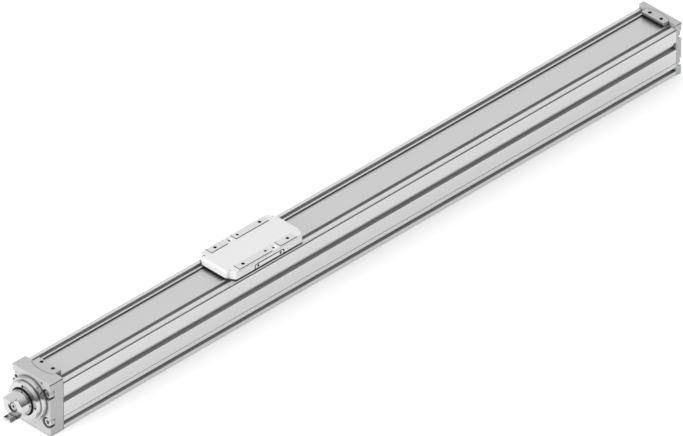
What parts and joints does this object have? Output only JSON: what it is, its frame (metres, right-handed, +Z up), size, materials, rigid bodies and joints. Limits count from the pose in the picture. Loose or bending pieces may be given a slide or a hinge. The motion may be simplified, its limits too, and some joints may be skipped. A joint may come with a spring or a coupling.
{
  "type": "ball screw linear axis",
  "caption": "Enclosed linear axis: a slotted profile with a cover band, a low slide driven by a ball screw, end caps, a motor flange and a two-jaw coupling hub.",
  "frame": {"origin": "on the underside of the profile, midway between the outer faces of the two caps and midway across", "axes": "+X along the axis from the drive end to the far end, +Z up through the slide, +Y across"},
  "size_m": [1.0422, 0.06, 0.077],
  "materials": {
    "anodised_profile": "natural anodised, satin",
    "anodised_cap": "machined and natural anodised, satin",
    "anodised_slide": "fine blasted and natural anodised, satin",
    "steel_strip": "rolled strip, satin",
    "turned_steel": "fine turned, bright",
    "ground_steel": "ground and hardened",
    "bearing_steel": "ground",
    "zinc_screws": "zinc plated",
    "black_rubber": "matt",
    "bearing_plastic": "moulded, matt"
  },
  "bodies": {
    "housing": {"profile": "anodised_profile", "guide_rail": "ground_steel", "rail_screws": "zinc_screws", "drive_cap": "anodised_cap", "drive_cap_screws": "zinc_screws", "drive_flange": "turned_steel", "fixed_bearing_outer_rings": "bearing_steel", "floating_bearing_outer_ring": "bearing_steel", "end_cap": "anodised_cap", "end_cap_screws": "zinc_screws", "cover_band": "steel_strip", "drive_band_clamp": "anodised_cap", "end_band_clamp": "anodised_cap", "drive_clamp_screws": "zinc_screws", "end_clamp_screws": "zinc_screws", "drive_buffer": "black_rubber", "end_buffer": "black_rubber", "cap_plug": "zinc_screws"},
    "slide": {"slide_body": "anodised_slide", "slide_cover": "anodised_slide", "side_plate": "anodised_slide", "side_plate_screws": "zinc_screws", "band_wipers": "black_rubber", "runner_block": "ground_steel", "runner_end_caps": "bearing_plastic", "runner_screws": "zinc_screws", "ball_nut": "ground_steel", "nut_screws": "zinc_screws"},
    "spindle": {"ball_screw": "ground_steel", "fixed_bearing_inner_rings": "bearing_steel", "floating_bearing_inner_ring": "bearing_steel", "lock_nut": "bearing_steel", "coupling_hub": "turned_steel", "hub_clamp_screw": "zinc_screws", "retaining_ring": "bearing_steel"},
    "fixed_cages": {"fixed_bearing_cages": "bearing_plastic"},
    "floating_cage": {"floating_bearing_cage": "bearing_plastic"}
  },
  "joints": [
    {"name": "slide_travel", "type": "slide", "parent": "housing", "child": "slide", "axis": [1, 0, 0], "range_m": [-0.23465, 0.56535]},
    {"name": "spindle_spin", "type": "hinge", "parent": "housing", "child": "spindle", "pos_m": [0, 0, 0.0402], "axis": [1, 0, 0], "range_deg": [-16961.5, 7040.5]},
    {"name": "fixed_cages_spin", "type": "hinge", "parent": "housing", "child": "fixed_cages", "pos_m": [-0.4915, 0, 0.0402], "axis": [1, 0, 0], "range_deg": [-6785.2, 2816.8]},
    {"name": "floating_cage_spin", "type": "hinge", "parent": "housing", "child": "floating_cage", "pos_m": [0.486, 0, 0.0402], "axis": [1, 0, 0], "range_deg": [-7011.3, 2910.7]}
  ],
  "couplings": [
    {"joint": "spindle_spin", "follows": "slide_travel", "rad_per_m": -523.6},
    {"joint": "fixed_cages_spin", "follows": "slide_travel", "rad_per_m": -209.44},
    {"joint": "floating_cage_spin", "follows": "slide_travel", "rad_per_m": -216.42}
  ]
}
